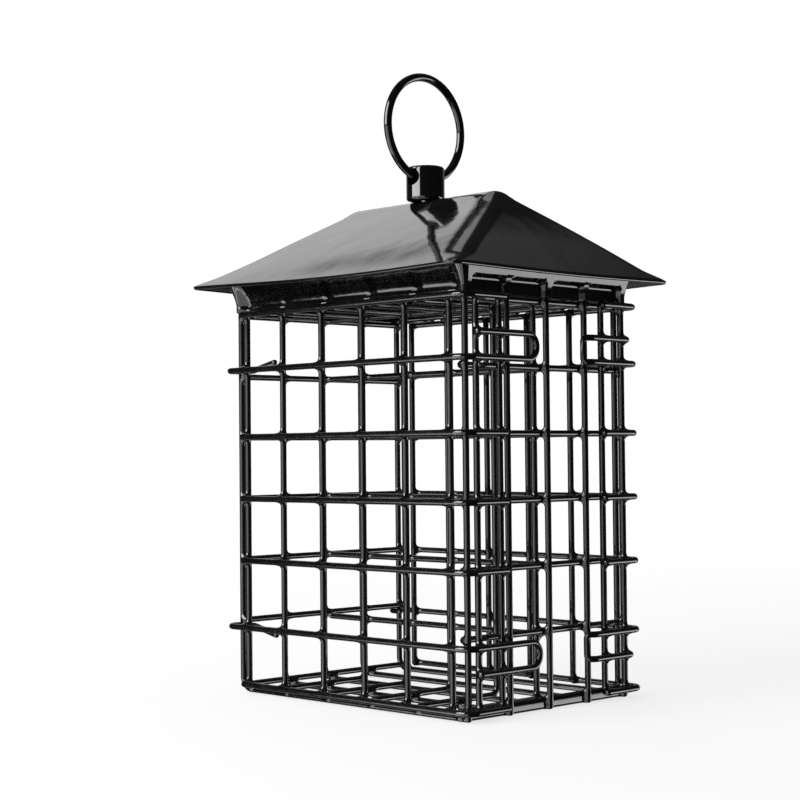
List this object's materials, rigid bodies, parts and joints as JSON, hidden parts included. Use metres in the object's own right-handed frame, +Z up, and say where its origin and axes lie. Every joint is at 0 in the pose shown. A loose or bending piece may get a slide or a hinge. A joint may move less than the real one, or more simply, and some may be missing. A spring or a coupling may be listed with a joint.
{
  "type": "suet feeder",
  "caption": "Hanging bird feeder: a coated wire cage for suet cakes with a divider and wire doors front and rear, a hipped metal roof, a knob and a hanging ring.",
  "frame": {"origin": "middle of the cage on the plane of the underside of the floor wires, under the middle of the roof", "axes": "+Z up; the front door faces -Y and the rear door +Y; both hinge on the -X side and their finger loops are on the +X side"},
  "size_m": [0.146, 0.1206, 0.243],
  "materials": {
    "black_coat": "gloss",
    "roof_coat": "gloss",
    "hanger_coat": "gloss",
    "zinc_steel": "satin"
  },
  "bodies": {
    "feeder": {"roof_shell": "roof_coat", "roof_pan": "roof_coat", "hanger_knob": "hanger_coat", "hanger_screw": "zinc_steel", "hanger_washer": "zinc_steel", "frame_wire_1": "black_coat", "frame_wire_2": "black_coat", "frame_wire_3": "black_coat", "frame_wire_4": "black_coat", "frame_wire_5": "black_coat", "right_uprights": "black_coat", "left_side_rails": "black_coat", "right_side_rails": "black_coat", "floor_edge_wires": "black_coat", "top_rail_front": "black_coat", "top_rail_back": "black_coat", "divider_wires": "black_coat", "divider_cross_wires": "black_coat"},
    "front_door": {"front_door_uprights": "black_coat", "front_door_flange_uprights": "black_coat", "front_door_row_wires": "black_coat", "front_door_latch_wire_upper": "black_coat", "front_door_latch_wire_lower": "black_coat"},
    "rear_door": {"rear_door_uprights": "black_coat", "rear_door_flange_uprights": "black_coat", "rear_door_row_wires": "black_coat", "rear_door_latch_wire_upper": "black_coat", "rear_door_latch_wire_lower": "black_coat"},
    "ring": {"hanging_ring": "hanger_coat"}
  },
  "joints": [
    {"name": "front_door_hinge", "type": "hinge", "parent": "feeder", "child": "front_door", "pos_m": [-0.06143, -0.0433, 0.07645], "axis": [0, 0, -1], "range_deg": [0, 170]},
    {"name": "rear_door_hinge", "type": "hinge", "parent": "feeder", "child": "rear_door", "pos_m": [-0.06143, 0.0433, 0.07645], "axis": [0, 0, 1], "range_deg": [0, 170]},
    {"name": "ring_swing", "type": "hinge", "parent": "feeder", "child": "ring", "pos_m": [0, 0, 0.2016], "axis": [0, 1, 0], "range_deg": [-95, 95]}
  ]
}
